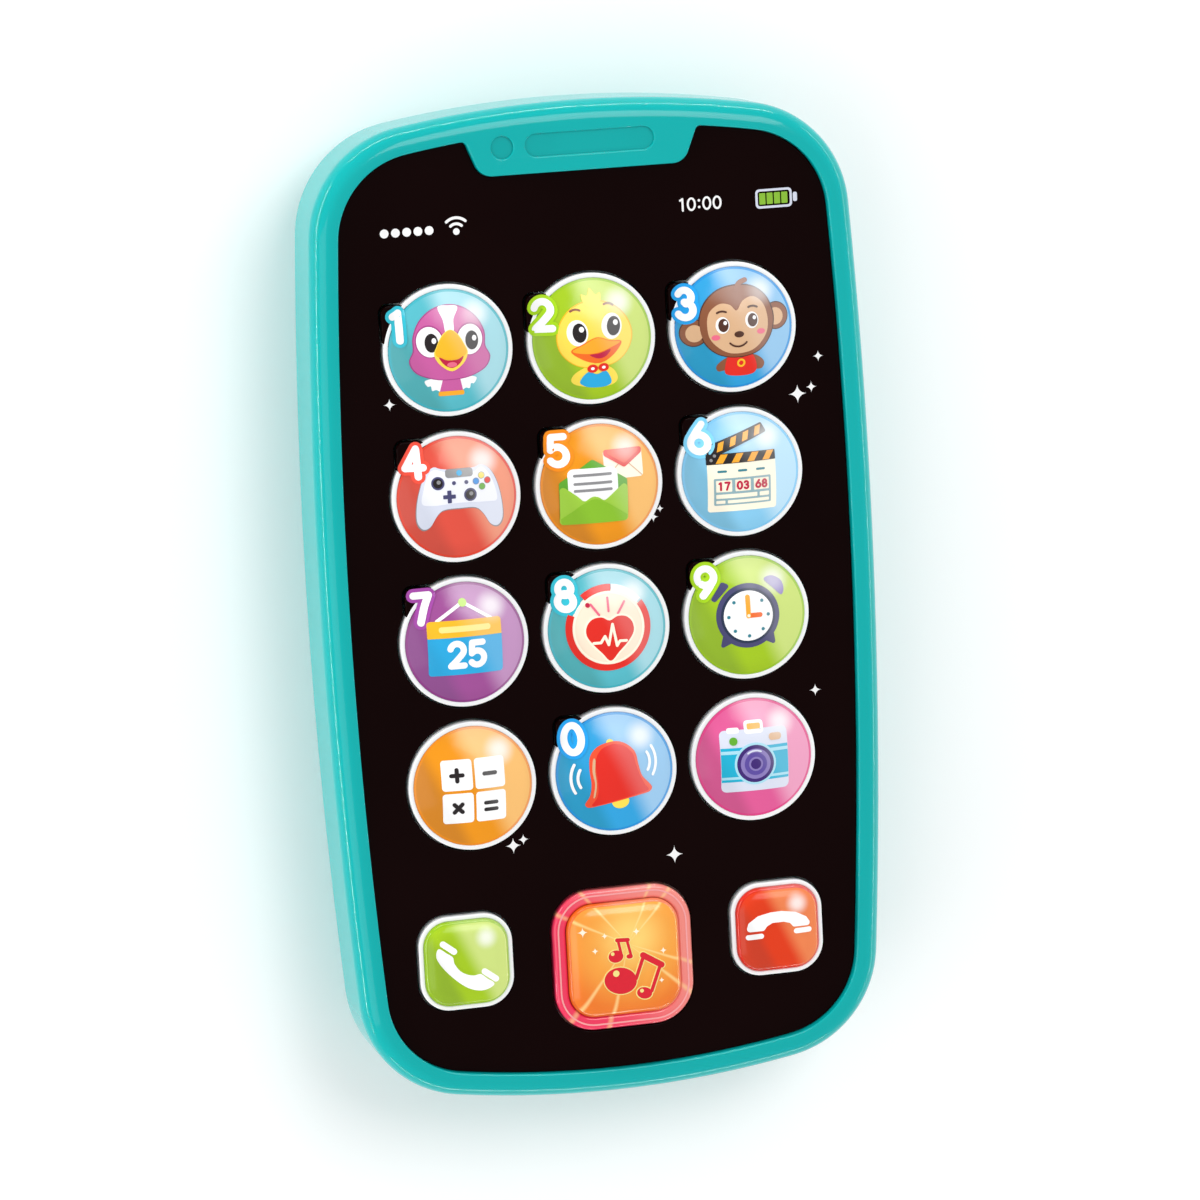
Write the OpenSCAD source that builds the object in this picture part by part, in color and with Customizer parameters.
// Toy cell phone, millimetres, lying on its back.
// The origin is under the middle of the housing, at the height of the surface that the back lies on.
// +X runs across the face to the right, +Y runs towards the top of the phone, +Z points out of the face.

/* [Body] */
// Width of the housing at its widest point
body_w = 86.4; // [80:0.1:110]
// Length of the housing
body_l = 151.8; // [150:0.1:190]
// Height of the rim above the surface
body_h = 24; // [23.5:0.1:32]
// Radius of the four corners, seen from the front
corner_r = 17; // [14:0.5:20]
// How far the long sides draw in towards the ends
side_bow = 3.3; // [0:0.1:5]
// How far the top and bottom edges draw in towards the corners
end_bow = 5.8; // [0:0.1:7]
// Distance from the middle up to the widest point
widest_y = 4.8; // [0:0.1:8]
// Radius of the edge between the rim and the side wall
rim_r = 3; // [2:0.1:3.5]
// How far the back curve reaches in from the side
back_curve_w = 10; // [6:0.5:12]
// Height of the back curve
back_curve_h = 15; // [12:0.5:17]
// Thickness of the housing walls
wall = 2.2; // [1.8:0.1:2.6]
// Thickness of the flat back
floor_t = 2.4; // [2.2:0.1:3]
// Height of the seam between the two housings
seam_z = 10.5; // [9:0.1:12]
// Gap left at the seam
seam_gap = 0.15; // [0.1:0.05:0.3]

/* [Face] */
// Width of the teal rim round the panel
rim_w = 3.95; // [3.6:0.05:6]
// Depth of the panel's face below the rim
panel_recess = 1.1; // [0.6:0.1:1.5]
// Thickness of the face panel
panel_t = 1.2; // [1:0.1:2]
// Gap round the edge of the panel
panel_gap = 0.1; // [0.05:0.05:0.3]
// Thickness of the deck under the panel
deck_t = 1.3; // [1:0.1:2]
// Radius of the panel's small outer corners beside the notch
panel_corner_r = 1; // [0.5:0.1:2]
// Half width of the notch tongue where it leaves the rim
notch_root_half = 18.2; // [14:0.1:22]
// Half width of the notch tongue at its tip
notch_tip_half = 15.6; // [10:0.1:18]
// Length of the notch tongue below the rim
notch_drop = 6.4; // [4:0.1:8]
// Radius of the tongue's two tip corners
notch_r = 2.6; // [1:0.1:3]
// Depth of the camera ring and earpiece slot sunk in the tongue
mark_depth = 0.5; // [0.2:0.1:0.8]
// Radius of the camera ring mark
camera_mark_r = 1.7; // [1:0.1:2]
// Distance from the middle to the camera mark
camera_mark_x = 12.2; // [10:0.1:13]
// Half length of the straight part of the earpiece mark
earpiece_half = 8.2; // [5:0.1:9]
// Sideways place of the earpiece mark
earpiece_x = 1.2; // [0:0.1:2]

/* [Keys] */
// Distance between neighbouring keys of the grid
key_pitch = 22; // [21.6:0.1:24]
// Distance from the middle of the phone up to the middle of the grid
grid_y = 7.3; // [4:0.1:10]
// Radius of a round key
key_r = 9.83; // [8:0.01:9.9]
// Width of the white ring round a key's label
ring_w = 0.72; // [0.5:0.01:1.2]
// Height of the lobe above the ring
lobe_rise = 0.15; // [0.05:0.05:0.4]
// Half width of the lobe that carries a key's numeral
lobe_half_w = 2.35; // [1.8:0.05:2.6]
// Half height of the numeral lobe
lobe_half_h = 3.1; // [2.4:0.05:3.3]
// Corner radius of the numeral lobe
lobe_corner = 1.2; // [0.6:0.1:1.8]
// Direction from a key's centre to its numeral lobe, in degrees from +X
lobe_angle = 138; // [125:1:150]
// Direction to the lobes of the three keys of the first row, in degrees from +X
first_row_lobe_angle = 151; // [140:1:160]
// How far the middle of a numeral lobe lies inside the key's edge
lobe_in = 1.3; // [0.8:0.1:2.5]
// Side of the call and hang-up keys
small_key = 14.5; // [12:0.1:15]
// Corner radius of the call and hang-up keys
small_key_corner = 4.6; // [3:0.1:5]
// Side of the home key
home_key = 21.8; // [18:0.1:22]
// Corner radius of the home key
home_key_corner = 6.2; // [4:0.1:7]
// Width of the home key's clear frame
home_frame_w = 2.1; // [1.5:0.1:3]
// Distance from the middle to the call and hang-up keys
small_key_x = 24.5; // [22.5:0.1:25]
// Distance from the middle of the phone down to the call and hang-up keys
small_key_y = 52.7; // [51:0.1:54]
// Distance from the middle of the phone down to the home key
home_key_y = 54.7; // [53:0.1:56]
// Gap between a key and its opening
key_gap = 0.3; // [0.2:0.05:0.4]
// Width of the flange that holds a key in
flange_w = 0.95; // [0.7:0.05:1]
// Thickness of the flange
flange_t = 1; // [0.8:0.1:1.2]
// Gap between the flange and the deck above it
flange_gap = 0.1; // [0.05:0.05:0.2]
// Height of a key's ring below the top of the rim
ring_drop = 0.3; // [0:0.1:0.6]
// Wall thickness of a key
key_wall = 1.3; // [1:0.1:1.6]
// Depth of the pocket that a key's label is glued into
label_seat = 0.5; // [0.3:0.1:0.8]
// Gap round the label
label_gap = 0.03; // [0.02:0.01:0.1]
// Height of a round key's dome above its ring
dome_h = 1.9; // [1:0.1:2.4]
// Height of the pillow on the call and hang-up keys
pillow_h = 1.3; // [0.8:0.1:2]
// Height of the pillow on the home key
home_pillow_h = 1.4; // [0.8:0.1:2]
// How far the pillow's top draws in from its edge
pillow_inset = 2.6; // [1.5:0.1:2.8]
// Radius of the stem that presses a rubber dome
stem_r = 2.2; // [1.5:0.1:2.6]

/* [Keypad and board] */
// Height of the rubber domes
rubber_dome_h = 2; // [1.8:0.1:2.6]
// Thickness of the rubber sheet
sheet_t = 0.8; // [0.6:0.1:1.2]
// Thickness of the circuit board
board_t = 1.2; // [1:0.1:1.6]
// Half width of the circuit board
board_half_w = 29.3; // [28:0.1:29.5]
// Place of the board's upper edge
board_top_y = 52; // [50:0.5:54]
// Place of the board's lower edge
board_bottom_y = -62.3; // [-62.5:0.1:-61]
// Radius of the light-emitting diodes under the home key
led_r = 1.5; // [1:0.1:2.5]

/* [Batteries] */
// Diameter of a AAA cell
cell_d = 10.5; // [9.5:0.1:12.6]
// Length of a AAA cell with its cap
cell_l = 44.5; // [38:0.1:48]
// Gap round each cell
cell_gap = 0.35; // [0.2:0.05:0.6]
// Room for a coil spring at one end of a cell
spring_room = 4.2; // [3:0.1:6]
// Thickness of the contact plates
contact_t = 0.4; // [0.3:0.1:0.6]
// Place of the middle of the battery bay along the phone
bay_y = -30; // [-32:0.1:-29]
// Thickness of the bay's walls
bay_wall = 1.4; // [1:0.1:2]
// Thickness of the battery door
door_t = 1.5; // [1.2:0.1:1.7]
// How far the door reaches past the inside of the bay
door_lap = 3.6; // [3:0.1:4.5]
// Gap round the battery door
door_gap = 0.25; // [0.15:0.05:0.4]
// Radius of the two screw ears on the door
door_ear_r = 5; // [4:0.1:5.5]

/* [Fasteners] */
// Radius of a screw's shank
screw_r = 1.1; // [0.9:0.05:1.3]
// Radius of a screw's head
screw_head_r = 2.3; // [2:0.1:2.6]
// Height of a screw's head
screw_head_h = 1.3; // [1:0.1:1.6]
// Clearance between a shank and its hole
screw_gap = 0.06; // [0.02:0.01:0.1]
// Radius of the pillars that the case screws go into
pillar_r = 3; // [2.6:0.1:3.2]
// Radius of the pillars that the board screws go into
board_pillar_r = 2.2; // [2:0.1:2.6]

/* [Speaker and switch] */
// Radius of the speaker
speaker_r = 14; // [11:0.5:17]
// Place of the speaker along the phone
speaker_y = 34; // [33:0.5:36]
// Radius of one grille hole
grille_hole_r = 1; // [0.6:0.1:1.2]
// Distance between grille holes
grille_pitch = 3.4; // [3:0.1:4]
// Place of the power switch along the phone
switch_y = 4; // [2:0.5:6]
// How far the power switch slides each way
switch_travel = 2.8; // [2:0.1:3]

/* [Hidden] */

eps = 0.01;
round_fn = 64;
half_w = body_w / 2;
half_l = body_l / 2;

// Heights of the layers, from the rim down
ring_z = body_h - ring_drop;
panel_top = body_h - panel_recess;
panel_bottom = panel_top - panel_t;
deck_bottom = panel_bottom - deck_t;
flange_top = deck_bottom - flange_gap;
flange_bottom = flange_top - flange_t;
sheet_top = flange_bottom - rubber_dome_h;
board_top = sheet_top - sheet_t;
board_bottom = board_top - board_t;
key_ceiling = ring_z - label_seat - key_wall;

// Seam tongue of the rear housing and the rebate that takes it
tongue_out = 1.55;
tongue_in = 2.45;
tongue_h = 1.5;
tongue_gap = 0.15;

// Battery bay
cell_r = cell_d / 2;
cell_z = floor_t + cell_r;
cell_shift = cell_r + cell_gap / 2;
bay_half_y = 2 * cell_r + 1.5 * cell_gap;
bay_half_x = (cell_l + spring_room) / 2 + contact_t;
bay_ceiling = cell_z + cell_r + cell_gap;
cell_right_x = bay_half_x - contact_t;
door_half_x = bay_half_x + door_lap;
door_half_y = bay_half_y + door_lap;
door_corner_r = 3;
door_boss_top = 3.2;
door_boss_r = 3.4;
door_screw_top = 9;

// Screws
seat_z = 6;
boss_top = 9;
boss_r = 3.8;
head_gap = 0.35;
case_screw_l = 9;
board_screw_l = 4.4;
case_screw_places = [
    [half_w - 10.2, grid_y], [-(half_w - 10.2), grid_y],
    [half_w - 13.2, half_l - 13.9], [-(half_w - 13.2), half_l - 13.9],
    [half_w - 14.2, 11.4 - half_l], [-(half_w - 14.2), 11.4 - half_l]];
board_screw_places = [for (x = [-1, 1], y = [-1, 1]) [x * key_pitch / 2, grid_y + y * key_pitch]];

// Places of the keys: round ones by column and row of the grid
function key_place(column, row) = [(column - 1) * key_pitch, grid_y - (row - 1.5) * key_pitch];
call_place = [-small_key_x, -small_key_y];
hang_up_place = [small_key_x, -small_key_y];
home_place = [0, -home_key_y];
numbered = [for (row = [0:2], column = [0:2]) key_place(column, row), key_place(1, 3)];
plain = [key_place(0, 3), key_place(2, 3)];
home_dome_x = 6.5;

// ---------- outline of the housing ----------

// The outline is eight arcs that meet smoothly: two long sides, two ends and four corners
corner_steps = 9;
edge_steps = 8;
side_r = (half_l * half_l + side_bow * side_bow) / (2 * side_bow + eps);
end_r = (half_w * half_w + end_bow * end_bow) / (2 * end_bow + eps);
side_centre = [half_w - side_r, widest_y];
end_centre_y = half_l - end_r;

// The centre of a right-hand corner, found by moving it between its two neighbouring arcs until it fits both.
// way is 1 for the top corner and -1 for the bottom one.
function corner_centre(way, x, tries = 12) = let (
        y = way * (end_centre_y + sqrt(pow(end_r - corner_r, 2) - x * x)),
        next_x = side_centre.x + sqrt(pow(side_r - corner_r, 2) - pow(y - side_centre.y, 2)))
    tries == 0 ? [x, y] : corner_centre(way, next_x, tries - 1);

top_corner = corner_centre(1, half_w - corner_r);
bottom_corner = corner_centre(-1, half_w - corner_r);
function bearing(from, to) = atan2(to.y - from.y, to.x - from.x);
side_top_a = bearing(side_centre, top_corner);
side_bottom_a = bearing(side_centre, bottom_corner);
end_top_a = bearing([0, end_centre_y], top_corner);
end_bottom_a = bearing([0, -end_centre_y], bottom_corner);

// Points of one arc, each with the direction that faces outwards there; the last point belongs to the next arc
function arc(centre, r, from_a, to_a, steps) =
    [for (i = [0:steps - 1]) let (a = from_a + (to_a - from_a) * i / steps) [centre + r * [cos(a), sin(a)], a]];

function mirrored(points) = [for (i = [len(points) - 1:-1:0]) [[-points[i][0].x, points[i][0].y], 180 - points[i][1]]];

right_half = concat(
    arc([0, -end_centre_y], end_r, -90, end_bottom_a, edge_steps),
    arc(bottom_corner, corner_r, end_bottom_a, side_bottom_a, corner_steps),
    arc(side_centre, side_r, side_bottom_a, side_top_a, edge_steps),
    arc(top_corner, corner_r, side_top_a, end_top_a, corner_steps),
    arc([0, end_centre_y], end_r, end_top_a, 90, edge_steps),
    [[[0, half_l], 90]]);
outline_nodes = concat(right_half, [for (n = mirrored(right_half)) if (abs(n[0].x) > eps) n]);

function outline_points(inset) = [for (n = outline_nodes) n[0] - inset * [cos(n[1]), sin(n[1])]];

module outline(inset) {
    polygon(outline_points(inset));
}

// A closed skin over the outline at a list of levels, each [height, inset], from the lowest up
module loft(levels) {
    n = len(outline_nodes);
    last = len(levels) - 1;
    points = [for (level = levels, p = outline_points(level[1])) [p.x, p.y, level[0]]];
    sides = [for (i = [0:last - 1], k = [0:n - 1]) let (a = i * n + k, b = i * n + (k + 1) % n)
        each [[a, a + n, b + n], [a, b + n, b]]];
    caps = [[for (k = [0:n - 1]) k], [for (k = [n - 1:-1:0]) last * n + k]];
    polyhedron(points, concat(sides, caps));
}

// Levels of the back curve, from a flat floor at height low
function back_levels(low, inset) = [for (a = [90:-18:0])
    [low + (back_curve_h - low) * (1 - sin(a)), inset + back_curve_w * (1 - cos(a))]];

// The whole outer shape: a back curve, straight sides and a rounded rim
module body_solid() {
    loft(concat(back_levels(0, 0),
        [for (a = [0:22.5:90]) [body_h - rim_r * (1 - sin(a)), rim_r * (1 - cos(a))]]));
}

// The hollow inside both housings, up to the deck
module cavity() {
    loft(concat(back_levels(floor_t, wall), [[deck_bottom, wall]]));
}

// ---------- small shared shapes ----------

module rounded_square(side, r, grow = 0) {
    offset(r = r + grow, $fn = 32) square(side - 2 * r, center = true);
}

// The place of a numeral lobe in its key; an angle of 0 means that the key has no lobe
function lobe_place(angle) = (key_r - lobe_in) * [cos(angle), sin(angle)];

module lobe(angle, grow) {
    r = lobe_corner + grow;
    x = lobe_half_w - lobe_corner;
    y = lobe_half_h - lobe_corner;
    translate(lobe_place(angle)) {
        square([2 * x, 2 * (y + r)], center = true);
        square([2 * (x + r), 2 * y], center = true);
        for (side = [-1, 1], end = [-1, 1]) translate([side * x, end * y]) circle(r, $fn = round_fn);
    }
}

module key_outline(angle, grow = 0) {
    circle(key_r + grow, $fn = round_fn);
    if (angle > 0) lobe(angle, grow);
}

// The openings for every key, each a little larger than its key
module key_openings(grow) {
    for (i = [0:len(numbered) - 1]) translate(numbered[i]) key_outline(i < 3 ? first_row_lobe_angle : lobe_angle, grow);
    for (place = plain) translate(place) key_outline(0, grow);
    for (place = [call_place, hang_up_place]) translate(place) rounded_square(small_key, small_key_corner, grow);
    translate(home_place) rounded_square(home_key, home_key_corner, grow);
}

module notch() {
    top = half_l + 1;
    root = half_l - rim_w;
    tip = root - notch_drop;
    offset(r = notch_r, $fn = 48) offset(delta = -notch_r)
        polygon([[-notch_tip_half, tip], [notch_tip_half, tip], [notch_root_half, root],
            [notch_root_half, top], [-notch_root_half, top], [-notch_root_half, root]]);
}

module panel_outline() {
    offset(r = panel_corner_r, $fn = 32) offset(delta = -panel_corner_r)
        difference() {
            outline(rim_w);
            notch();
        }
}

module tube(outer_r, inner_r, z_low, z_high) {
    translate([0, 0, z_low]) difference() {
        cylinder(r = outer_r, h = z_high - z_low, $fn = round_fn);
        translate([0, 0, -1]) cylinder(r = inner_r, h = z_high - z_low + 2, $fn = round_fn);
    }
}

module hole(r, z_low, z_high) {
    translate([0, 0, z_low]) cylinder(r = r, h = z_high - z_low, $fn = round_fn);
}

// A pan-head screw with its head at the bottom, its seat at height z and its shank going up
module screw(z, length) {
    difference() {
        union() {
            hole(screw_head_r, z - screw_head_h, z);
            hole(screw_r, z - eps, z + length);
        }
        slot_w = 0.5;
        for (turn = [0, 90])
            rotate(turn) translate([-1.2, -slot_w / 2, z - screw_head_h - 1]) cube([2.4, slot_w, 1.7]);
    }
}

// ---------- housings and panel ----------

module front_housing() {
    mark_y = half_l - 6.2;
    color("#00b3b1") difference() {
        union() {
            difference() {
                intersection() {
                    body_solid();
                    translate([-body_w, -body_l, seam_z + seam_gap]) cube([2 * body_w, 2 * body_l, body_h]);
                }
                cavity();
                // rebate for the rear housing's tongue
                translate([0, 0, seam_z - 1]) linear_extrude(tongue_h + tongue_gap + 1) outline(tongue_out - tongue_gap);
                // recess for the panel
                translate([0, 0, panel_bottom]) linear_extrude(body_h) panel_outline();
                // openings for the keys
                translate([0, 0, deck_bottom - 1]) linear_extrude(body_h) key_openings(key_gap);
            }
            for (place = case_screw_places)
                translate(place) hole(pillar_r, boss_top, deck_bottom + eps);
            for (place = board_screw_places)
                translate(place) hole(board_pillar_r, board_top, deck_bottom + eps);
        }
        for (place = case_screw_places)
            translate(place) hole(screw_r + screw_gap, boss_top - 1, seat_z + case_screw_l + 1);
        for (place = board_screw_places)
            translate(place) hole(screw_r + screw_gap, board_top - 1, board_bottom + board_screw_l + 0.4);
        // camera ring and earpiece slot sunk in the tongue
        translate([-camera_mark_x, mark_y]) hole(camera_mark_r, body_h - mark_depth, body_h + 1);
        translate([earpiece_x, mark_y, body_h - mark_depth]) linear_extrude(1) union() {
            for (side = [-1, 1]) translate([side * earpiece_half, 0]) circle(camera_mark_r, $fn = round_fn);
            square([2 * earpiece_half, 2 * camera_mark_r], center = true);
        }
    }
}

module face_panel() {
    color("#140404") translate([0, 0, panel_bottom]) linear_extrude(panel_t) difference() {
        offset(delta = -panel_gap) panel_outline();
        key_openings(key_gap);
    }
}

module door_outline(grow) {
    offset(r = door_corner_r + grow, $fn = 32)
        square([2 * (door_half_x - door_corner_r), 2 * (door_half_y - door_corner_r)], center = true);
    for (side = [-1, 1]) translate([0, side * door_half_y]) circle(door_ear_r + grow, $fn = round_fn);
}

recess_half_x = 7.6;
recess_half_y = 3.4;
recess_depth = 1;
slot_half_x = 4.8;
slot_half_y = 1.5;
switch_half_x = 7;
switch_half_y = 3.5;
switch_h = 4.5;
knob_half = 2.7;
knob_lift = 0.25;
stem_half_x = 1.6;
stem_half_y = 1.2;

module box(half_x, half_y, z_low, z_high) {
    translate([-half_x, -half_y, z_low]) cube([2 * half_x, 2 * half_y, z_high - z_low]);
}

module grille_holes() {
    reach = speaker_r - 4;
    rows = ceil(reach / (grille_pitch * sin(60)));
    for (row = [-rows:rows], i = [-rows - 1:rows + 1]) {
        x = (i + (row % 2 == 0 ? 0 : 0.5)) * grille_pitch;
        y = row * grille_pitch * sin(60);
        if (norm([x, y]) <= reach)
            translate([x, y]) hole(grille_hole_r, -1, floor_t + 1);
    }
}

module rear_housing() {
    speaker_wall = 1.2;
    color("#00b3b1") difference() {
        union() {
            difference() {
                intersection() {
                    body_solid();
                    translate([-body_w, -body_l, -1]) cube([2 * body_w, 2 * body_l, seam_z + 1]);
                }
                cavity();
            }
            // tongue that locates the front housing
            translate([0, 0, seam_z - 1.5]) linear_extrude(tongue_h + 1.5) difference() {
                outline(tongue_out);
                outline(tongue_in);
            }
            translate([0, bay_y]) box(bay_half_x + bay_wall, bay_half_y + bay_wall, floor_t - eps, bay_ceiling + bay_wall);
            for (side = [-1, 1]) translate([0, bay_y + side * door_half_y])
                hole(door_ear_r - 0.4, floor_t - eps, door_screw_top);
            for (place = case_screw_places) translate(place) hole(boss_r, floor_t - eps, boss_top);
            translate([0, speaker_y]) tube(speaker_r + 0.25 + speaker_wall, speaker_r + 0.25, floor_t - eps, floor_t + 2.4);
        }
        // battery bay and its door opening, with a ledge between them
        translate([0, bay_y]) box(bay_half_x, bay_half_y, -1, bay_ceiling);
        translate([0, bay_y, -1]) linear_extrude(1 + door_t + 0.1) door_outline(door_gap);
        for (side = [-1, 1]) translate([0, bay_y + side * door_half_y]) {
            hole(door_boss_r + door_gap, 0, door_boss_top);
            hole(screw_r + screw_gap, 0, door_screw_top - 1);
        }
        for (place = case_screw_places) translate(place) {
            hole(screw_head_r + head_gap, -1, seat_z);
            hole(screw_r + screw_gap, 0, boss_top + 1);
        }
        translate([0, speaker_y]) grille_holes();
        translate([0, switch_y]) {
            box(recess_half_x, recess_half_y, -1, recess_depth);
            box(slot_half_x, slot_half_y, 0, floor_t + 1);
        }
    }
}

// ---------- keys: white caps with printed, domed labels glued into them ----------

module round_cap(place, angle) {
    color("white") translate(place) difference() {
        union() {
            translate([0, 0, flange_bottom]) linear_extrude(ring_z - flange_bottom) key_outline(angle);
            hole(key_r + flange_w, flange_bottom, flange_top);
        }
        difference() {
            hole(key_r - key_wall, flange_bottom - 1, key_ceiling);
            hole(stem_r, flange_bottom - 2, key_ceiling + 1);
        }
        translate([0, 0, ring_z - label_seat]) linear_extrude(label_seat + 1) label_outline(angle, label_gap);
    }
}

module label_outline(angle, grow) {
    circle(key_r - ring_w + grow, $fn = round_fn);
    if (angle > 0) lobe(angle, grow);
}

// A disc with a spherical top, and a flat lobe that stands just above the ring
module round_label(place, angle) {
    r = key_r - ring_w;
    sphere_r = (r * r + dome_h * dome_h) / (2 * dome_h);
    seat = ring_z - label_seat;
    translate(place) {
        intersection() {
            translate([0, 0, ring_z + dome_h - sphere_r]) sphere(sphere_r, $fn = 96);
            hole(r, seat, ring_z + dome_h + 1);
        }
        if (angle > 0)
            translate([0, 0, seat]) linear_extrude(label_seat + lobe_rise) lobe(angle, 0);
    }
}

module square_cap(place, side, corner, frame_w) {
    translate(place) difference() {
        union() {
            translate([0, 0, flange_bottom]) linear_extrude(ring_z - flange_bottom) rounded_square(side, corner);
            translate([0, 0, flange_bottom]) linear_extrude(flange_t) rounded_square(side, corner, flange_w);
        }
        translate([0, 0, flange_bottom - 1]) linear_extrude(key_ceiling - flange_bottom + 1)
            rounded_square(side, corner, -key_wall);
        translate([0, 0, ring_z - label_seat]) linear_extrude(label_seat + 1)
            rounded_square(side, corner, label_gap - frame_w);
    }
}

// A pillow with upright edges down to its seat
module square_label(place, side, corner, frame_w, height) {
    translate(place) hull() {
        translate([0, 0, ring_z - label_seat]) linear_extrude(label_seat) rounded_square(side, corner, -frame_w);
        for (a = [22.5:22.5:90])
            translate([0, 0, ring_z - eps + height * sin(a)]) linear_extrude(eps)
                rounded_square(side, corner, -frame_w - pillow_inset * (1 - cos(a)));
    }
}

// The stem under a square key
module key_stem(place) {
    translate(place) hole(stem_r, flange_bottom, key_ceiling + eps);
}

module key_1() round_cap(key_place(0, 0), first_row_lobe_angle);
module key_2() round_cap(key_place(1, 0), first_row_lobe_angle);
module key_3() round_cap(key_place(2, 0), first_row_lobe_angle);
module key_4() round_cap(key_place(0, 1), lobe_angle);
module key_5() round_cap(key_place(1, 1), lobe_angle);
module key_6() round_cap(key_place(2, 1), lobe_angle);
module key_7() round_cap(key_place(0, 2), lobe_angle);
module key_8() round_cap(key_place(1, 2), lobe_angle);
module key_9() round_cap(key_place(2, 2), lobe_angle);
module key_calculator() round_cap(key_place(0, 3), 0);
module key_0() round_cap(key_place(1, 3), lobe_angle);
module key_camera() round_cap(key_place(2, 3), 0);
module key_call() color("white") {
    square_cap(call_place, small_key, small_key_corner, ring_w);
    key_stem(call_place);
}
module key_hang_up() color("white") {
    square_cap(hang_up_place, small_key, small_key_corner, ring_w);
    key_stem(hang_up_place);
}
module key_home() color("#f0456a") {
    square_cap(home_place, home_key, home_key_corner, home_frame_w);
    for (side = [-1, 1]) key_stem(home_place + [side * home_dome_x, 0]);
}

module label_1() color("#7fc8d4") round_label(key_place(0, 0), first_row_lobe_angle);
module label_2() color("#a6c92c") round_label(key_place(1, 0), first_row_lobe_angle);
module label_3() color("#4aa8dc") round_label(key_place(2, 0), first_row_lobe_angle);
module label_4() color("#de5a48") round_label(key_place(0, 1), lobe_angle);
module label_5() color("#e99a28") round_label(key_place(1, 1), lobe_angle);
module label_6() color("#92ccec") round_label(key_place(2, 1), lobe_angle);
module label_7() color("#a05898") round_label(key_place(0, 2), lobe_angle);
module label_8() color("#7fc8d4") round_label(key_place(1, 2), lobe_angle);
module label_9() color("#a6c92c") round_label(key_place(2, 2), lobe_angle);
module label_calculator() color("#e99a28") round_label(key_place(0, 3), 0);
module label_0() color("#4aa8dc") round_label(key_place(1, 3), lobe_angle);
module label_camera() color("#de62a0") round_label(key_place(2, 3), 0);
module label_call() color("#a6c92c") square_label(call_place, small_key, small_key_corner, ring_w, pillow_h);
module label_hang_up() color("#de4a20") square_label(hang_up_place, small_key, small_key_corner, ring_w, pillow_h);
module label_home() color("#f0a040") square_label(home_place, home_key, home_key_corner, home_frame_w, home_pillow_h);

// ---------- keypad and circuit board ----------

board_mid_y = (board_top_y + board_bottom_y) / 2;
board_half_l = (board_top_y - board_bottom_y) / 2;

module board_outline(inset) {
    translate([0, board_mid_y]) offset(r = 2, $fn = 32)
        square([2 * (board_half_w - inset - 2), 2 * (board_half_l - inset - 2)], center = true);
}

module rubber_dome() {
    difference() {
        translate([0, 0, sheet_top - eps]) cylinder(r1 = 3.6, r2 = 2.4, h = rubber_dome_h + eps, $fn = round_fn);
        translate([0, 0, sheet_top - 1]) cylinder(r1 = 3.2, r2 = 1.6, h = rubber_dome_h + 0.3, $fn = round_fn);
    }
}

dome_places = concat(numbered, plain, [call_place, hang_up_place],
    [for (side = [-1, 1]) home_place + [side * home_dome_x, 0]]);
led_places = [for (side = [-1, 1]) home_place + [0, side * (led_r + 0.8)]];

module keypad_mat() {
    color("#d8d8d2") {
        translate([0, 0, board_top]) linear_extrude(sheet_t) difference() {
            board_outline(0.6);
            for (place = dome_places) translate(place) circle(3, $fn = round_fn);
            for (place = board_screw_places) translate(place) circle(board_pillar_r + 0.4, $fn = round_fn);
            for (place = case_screw_places) translate(place) circle(pillar_r + 0.6, $fn = round_fn);
            for (place = led_places) translate(place) circle(led_r + 0.3, $fn = round_fn);
        }
        for (place = dome_places) translate(place) rubber_dome();
    }
}

module main_board() {
    color("#2f7d3c") difference() {
        translate([0, 0, board_bottom]) linear_extrude(board_t) board_outline(0);
        for (place = board_screw_places) translate(place) hole(screw_r + 0.2, board_bottom - 1, board_top + 1);
        for (place = case_screw_places) translate(place) hole(pillar_r + 0.3, board_bottom - 1, board_top + 1);
    }
}

module sound_chip() {
    blob_r = 5;
    blob_h = 1.3;
    ball_r = (blob_r * blob_r + blob_h * blob_h) / (2 * blob_h);
    color("#202020") translate([0, switch_y + 10]) intersection() {
        translate([0, 0, board_bottom - blob_h + ball_r]) sphere(ball_r, $fn = 96);
        hole(blob_r, board_bottom - blob_h - 1, board_bottom);
    }
}

module board_components() {
    capacitor_r = 2.5;
    capacitor_h = 5;
    color("#5a5248") {
        translate([-20, 14]) hole(capacitor_r, board_bottom - capacitor_h, board_bottom);
        for (i = [0:3]) translate([12 + 4 * i, 14]) box(0.7, 1.2, board_bottom - 0.7, board_bottom);
        for (i = [0:2]) translate([14 + 4 * i, 7]) box(0.7, 1.2, board_bottom - 0.7, board_bottom);
    }
}

module home_leds() {
    body_l = 1.4;
    color("#fff0e0") for (place = led_places) translate(place) {
        hole(led_r, board_top, board_top + body_l);
        intersection() {
            translate([0, 0, board_top + body_l]) sphere(led_r, $fn = 48);
            hole(led_r + 1, board_top + body_l - eps, board_top + body_l + led_r + 1);
        }
    }
}

// ---------- speaker ----------

basket_depth = 4.4;
basket_plate = 0.8;
magnet_r = 7.5;
magnet_h = 3;

module speaker_part(profile) {
    translate([0, speaker_y, floor_t]) rotate_extrude($fn = round_fn) polygon(profile);
}

module speaker_basket() {
    back = basket_depth + basket_plate;
    coil_r = 4.5;
    color("#8a8d90") speaker_part([[speaker_r, 0], [speaker_r, 1.2], [speaker_r - 1, 1.2], [magnet_r + 1, back],
        [coil_r, back], [coil_r, basket_depth], [magnet_r + 0.4, basket_depth], [speaker_r - 1.6, 1], [speaker_r - 1.6, 0]]);
}

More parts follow.
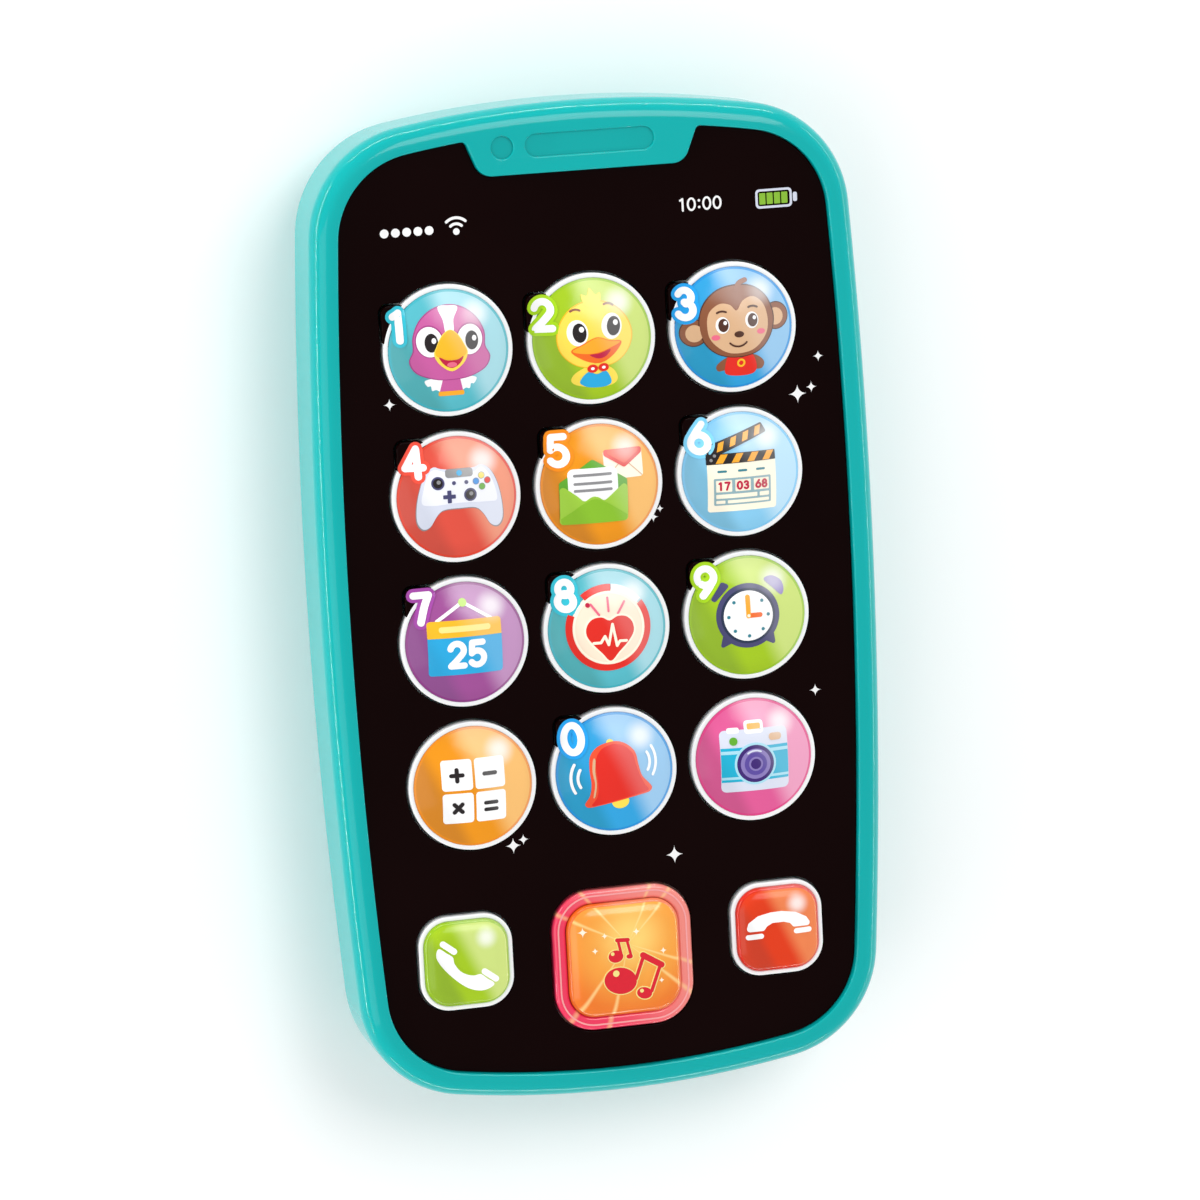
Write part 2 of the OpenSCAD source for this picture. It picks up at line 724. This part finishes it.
module speaker_magnet() {
    back = basket_depth + basket_plate;
    color("#4a4c50") speaker_part([[0, back], [magnet_r, back], [magnet_r, back + magnet_h], [0, back + magnet_h]]);
}

module speaker_cone() {
    edge_r = speaker_r - 1.7;
    color("#2c2a28") speaker_part([[edge_r, 0.3], [edge_r, 0.7], [4, 3.4], [3.9, 3.9], [2.2, 3.1], [0, 2.8], [0, 2.4],
        [2.4, 2.7], [3.7, 3]]);
}

// ---------- batteries and contacts ----------

nub_r = 1.9;
nub_h = 1.1;

// A cell along +X with its positive cap at the far end
module cell_solid() {
    rotate([0, 90, 0]) {
        cylinder(r = cell_r - 0.1, h = cell_l - nub_h, $fn = round_fn);
        cylinder(r = nub_r, h = cell_l, $fn = round_fn);
    }
}

module battery_upper() {
    color("#303438") translate([cell_right_x - cell_l, bay_y + cell_shift, cell_z]) cell_solid();
}

module battery_lower() {
    color("#303438") translate([-cell_right_x + cell_l, bay_y - cell_shift, cell_z]) rotate([0, 0, 180]) cell_solid();
}

plate_half_y = 4.2;
plate_low = floor_t + 1;
plate_high = 2 * cell_z - plate_low;

module contact_plate(x_low, y_low, y_high) {
    translate([x_low, y_low, plate_low]) cube([contact_t, y_high - y_low, plate_high - plate_low]);
}

// A conical coil spring, closed up by the cell, standing on a plate and pointing along +X
module contact_spring() {
    wire_r = 0.4;
    turns = 6;
    rise = (spring_room - wire_r) / turns;
    for (i = [0:turns])
        translate([i * rise, 0, 0]) rotate([0, 90, 0]) rotate_extrude($fn = 48)
            translate([3.8 - 0.28 * i, 0]) circle(wire_r, $fn = 24);
}

module terminal_positive() {
    color("#c8c8c4") contact_plate(cell_right_x, bay_y + cell_shift - plate_half_y, bay_y + cell_shift + plate_half_y);
}

module terminal_negative() {
    color("#c8c8c4") {
        contact_plate(cell_right_x, bay_y - cell_shift - plate_half_y, bay_y - cell_shift + plate_half_y);
        translate([cell_right_x, bay_y - cell_shift, cell_z]) mirror([1, 0, 0]) contact_spring();
    }
}

module contact_link() {
    color("#c8c8c4") {
        contact_plate(-cell_right_x - contact_t, bay_y - cell_shift - plate_half_y, bay_y + cell_shift + plate_half_y);
        translate([-cell_right_x, bay_y + cell_shift, cell_z]) contact_spring();
    }
}

module battery_door() {
    color("#00b3b1") translate([0, bay_y]) difference() {
        union() {
            linear_extrude(door_t) door_outline(0);
            for (side = [-1, 1]) translate([0, side * door_half_y])
                hole(door_boss_r, 0, door_boss_top - 0.2);
        }
        for (side = [-1, 1]) translate([0, side * door_half_y]) {
            hole(screw_head_r + head_gap, -1, screw_head_h + 0.3);
            hole(screw_r + 0.2, 0, door_boss_top + 1);
        }
        // finger ridges
        for (i = [-2:2]) translate([i * 5, door_half_y * -0.55]) box(0.8, 3, -1, 0.35);
    }
}

module door_screws() {
    color("#b0b2b4") for (side = [-1, 1]) translate([0, bay_y + side * door_half_y])
        screw(screw_head_h + 0.3, 6);
}

module case_screws() {
    color("#b0b2b4") for (place = case_screw_places) translate(place) screw(seat_z, case_screw_l);
}

module board_screws() {
    color("#b0b2b4") for (place = board_screw_places) translate(place) screw(board_bottom, board_screw_l);
}

// ---------- power switch ----------

module switch_body() {
    color("#9a9c9e") translate([0, switch_y]) difference() {
        box(switch_half_x, switch_half_y, floor_t, floor_t + switch_h);
        box(slot_half_x, slot_half_y, floor_t - 1, floor_t + switch_h - 1);
    }
}

module switch_knob() {
    color("#1c1c1e") translate([0, switch_y]) difference() {
        union() {
            box(knob_half, knob_half, knob_lift, recess_depth - 0.05);
            box(stem_half_x, stem_half_y, recess_depth - 0.1, floor_t + 2);
        }
        for (i = [-1:1]) translate([i * 1.5, 0]) box(0.3, knob_half + 1, -1, knob_lift + 0.3);
    }
}

// ---------- wires ----------

wire_d = 1.1;
wire_sides = 8;

function unit(v) = v / norm(v);
function point_along(points, t) = let (
        n = len(points) - 1,
        i = min(floor(t), n - 1),
        u = t - i,
        p0 = points[max(i - 1, 0)], p1 = points[i], p2 = points[i + 1], p3 = points[min(i + 2, n)])
    0.5 * (2 * p1 + (p2 - p0) * u + (2 * p0 - 5 * p1 + 4 * p2 - p3) * u * u + (3 * p1 - p0 - 3 * p2 + p3) * u * u * u);

// A round tube swept along a smooth curve through a route's points
module wire(points) {
    rings = 5 * (len(points) - 1);
    path = [for (i = [0:rings]) point_along(points, i * (len(points) - 1) / rings)];
    ring = [for (i = [0:rings])
        let (ahead = unit(path[min(i + 1, rings)] - path[max(i - 1, 0)]),
            across = unit(cross(ahead, [0.31, 0.9, 0.2])),
            up = cross(across, ahead))
        [for (k = [0:wire_sides - 1]) path[i] + wire_d / 2 * (across * cos(360 * k / wire_sides)
            + up * sin(360 * k / wire_sides))]];
    vertices = [for (r = ring, p = r) p];
    sides = [for (i = [0:rings - 1], k = [0:wire_sides - 1])
        [i * wire_sides + k, i * wire_sides + (k + 1) % wire_sides,
            (i + 1) * wire_sides + (k + 1) % wire_sides, (i + 1) * wire_sides + k]];
    ends = [[for (k = [wire_sides - 1:-1:0]) k], [for (k = [0:wire_sides - 1]) rings * wire_sides + k]];
    polyhedron(vertices, concat(sides, ends));
}

wire_end_z = board_bottom - 0.1;
speaker_wire_route = [[3, 25, 8.4], [3.4, 22, 9.4], [6, 20.5, 11], [9, 21, 13], [10, 21.5, wire_end_z]];
positive_wire_route = [[27.6, -19, 11.6], [29, -14, 12.4], [28.6, -8, 12.6], [26, -4, 13.2], [25.6, -3, wire_end_z]];
negative_wire_route = [[27.6, -41, 11.6], [31, -45, 12.4], [32, -50, 12.6], [28, -54, 13.2], [27, -55, wire_end_z]];

module speaker_wires() {
    color("#c03028") wire(speaker_wire_route);
    color("#303030") mirror([1, 0, 0]) wire(speaker_wire_route);
}

module battery_wires() {
    color("#c03028") wire(positive_wire_route);
    color("#303030") wire(negative_wire_route);
}

front_housing();
rear_housing();
face_panel();
key_1();
key_2();
key_3();
key_4();
key_5();
key_6();
key_7();
key_8();
key_9();
key_calculator();
key_0();
key_camera();
key_call();
key_home();
key_hang_up();
label_1();
label_2();
label_3();
label_4();
label_5();
label_6();
label_7();
label_8();
label_9();
label_calculator();
label_0();
label_camera();
label_call();
label_home();
label_hang_up();
keypad_mat();
main_board();
sound_chip();
board_components();
home_leds();
speaker_basket();
speaker_magnet();
speaker_cone();
speaker_wires();
battery_door();
door_screws();
battery_upper();
battery_lower();
terminal_positive();
terminal_negative();
contact_link();
battery_wires();
case_screws();
board_screws();
switch_body();
switch_knob();
